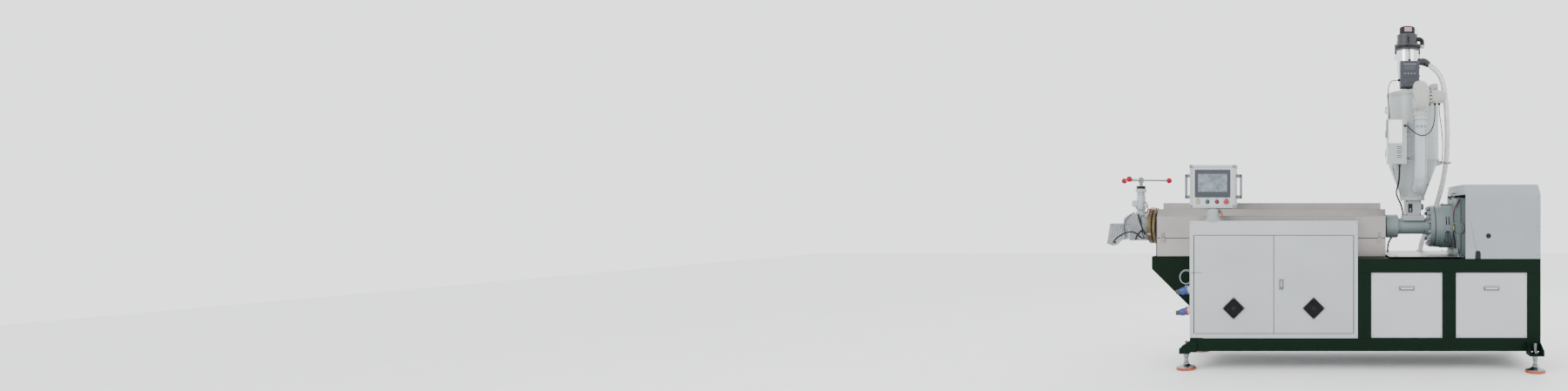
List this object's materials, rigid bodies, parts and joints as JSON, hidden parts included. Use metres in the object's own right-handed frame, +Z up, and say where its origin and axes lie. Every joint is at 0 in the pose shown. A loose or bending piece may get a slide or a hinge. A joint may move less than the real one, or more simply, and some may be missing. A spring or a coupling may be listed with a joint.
{
  "type": "plastic extruder",
  "caption": "Single-screw plastic extruder on a steel base, with hopper dryer, vacuum loader, hinged barrel hood, control cabinet, swivelling panel and die valve.",
  "frame": {"origin": "on the floor under the middle of the machine", "axes": "+X from the die towards the gearbox, -Y towards the operator, +Z up"},
  "size_m": [3.455, 1.0796, 2.751],
  "materials": {
    "green_paint": "satin dark green paint",
    "panel_paint": "fine textured light grey powder coat",
    "cabinet_paint": "fine textured light grey powder coat",
    "cover_paint": "satin blue grey paint",
    "gear_paint": "satin grey green paint on castings",
    "cast_paint": "satin light grey paint on castings",
    "dryer_paint": "glossy off-white paint",
    "brushed_sheet": "brushed stainless sheet",
    "mirror_sheet": "polished stainless sheet",
    "bright_steel": "turned and zinc plated steel",
    "tool_steel": "ground tool steel",
    "heat_tinted_steel": "steel tinted straw and brown by heat",
    "screen_glass": "dark screen in a grey frame",
    "black_plastic": "black moulded plastic",
    "dark_plastic": "dark blue grey moulded plastic",
    "blue_plastic": "blue moulded plastic",
    "red_plastic": "glossy red moulded plastic",
    "red_rubber": "orange red rubber",
    "cable_rubber": "black rubber cable sheath",
    "clear_hose": "clear ribbed plastic hose"
  },
  "bodies": {
    "base": {"barrel": "bright_steel", "barrel_flange": "heat_tinted_steel", "bay_panels": "panel_paint", "bed_plate": "green_paint", "bed_wing": "green_paint", "blower_cable": "cable_rubber", "blower_motor": "dryer_paint", "blower_volute": "dryer_paint", "bottom_rails": "green_paint", "cabinet_body": "cabinet_paint", "controller_cable": "cable_rubber", "cross_rails": "green_paint", "die_block": "tool_steel", "die_sensor_cable": "cable_rubber", "feed_cylinder": "gear_paint", "foot_rubbers": "red_rubber", "foot_studs": "bright_steel", "gearbox_case": "gear_paint", "gearbox_cover": "cover_paint", "gearbox_lantern": "gear_paint", "head_cable": "cable_rubber", "heater_bands": "brushed_sheet", "heater_box": "dryer_paint", "hood_tray": "brushed_sheet", "hopper_cone": "dryer_paint", "hopper_lid": "dryer_paint", "hopper_seat": "cast_paint", "hopper_wall": "dryer_paint", "hot_air_pipe": "dryer_paint", "loader_controller": "dark_plastic", "loader_head": "dark_plastic", "loader_vessel": "mirror_sheet", "magnet_block": "cast_paint", "nozzle_block": "tool_steel", "nozzle_cable": "cable_rubber", "panel_handles": "bright_steel", "panel_post": "cabinet_paint", "posts": "green_paint", "power_sockets": "blue_plastic", "return_pipe": "dryer_paint", "sensor_cable": "cable_rubber", "suction_hose": "clear_hose", "suction_lance": "bright_steel", "supply_cable": "cable_rubber", "terminal_box": "cast_paint", "top_rails": "green_paint", "valve_column": "tool_steel"},
    "left_cabinet_door": {"left_door": "cabinet_paint", "left_door_fan": "black_plastic"},
    "right_cabinet_door": {"right_door": "cabinet_paint", "right_door_fan": "black_plastic", "door_latch": "black_plastic"},
    "operator_panel": {"panel_housing": "panel_paint", "panel_screen": "screen_glass", "panel_buttons": "red_plastic", "panel_grips": "dark_plastic"},
    "barrel_hood": {"hood": "brushed_sheet", "toggle_levers": "bright_steel"},
    "valve_handle": {"star_handle": "bright_steel", "handle_balls": "red_plastic"}
  },
  "joints": [
    {"name": "left_door_hinge", "type": "hinge", "parent": "base", "child": "left_cabinet_door", "pos_m": [-0.923, -0.404, 0.66], "axis": [0, 0, -1], "range_deg": [0, 110]},
    {"name": "right_door_hinge", "type": "hinge", "parent": "base", "child": "right_cabinet_door", "pos_m": [0.285, -0.404, 0.66], "axis": [0, 0, 1], "range_deg": [0, 110]},
    {"name": "panel_swivel", "type": "hinge", "parent": "base", "child": "operator_panel", "pos_m": [-0.788, -0.35, 1.236], "axis": [0, 0, 1], "range_deg": [-60, 60]},
    {"name": "hood_hinge", "type": "hinge", "parent": "base", "child": "barrel_hood", "pos_m": [-0.359, 0.223, 1.007], "axis": [-1, 0, 0], "range_deg": [0, 90]},
    {"name": "valve_turn", "type": "hinge", "parent": "base", "child": "valve_handle", "pos_m": [-1.451, 0.05, 1.474], "axis": [0, 0, 1], "continuous": true}
  ]
}
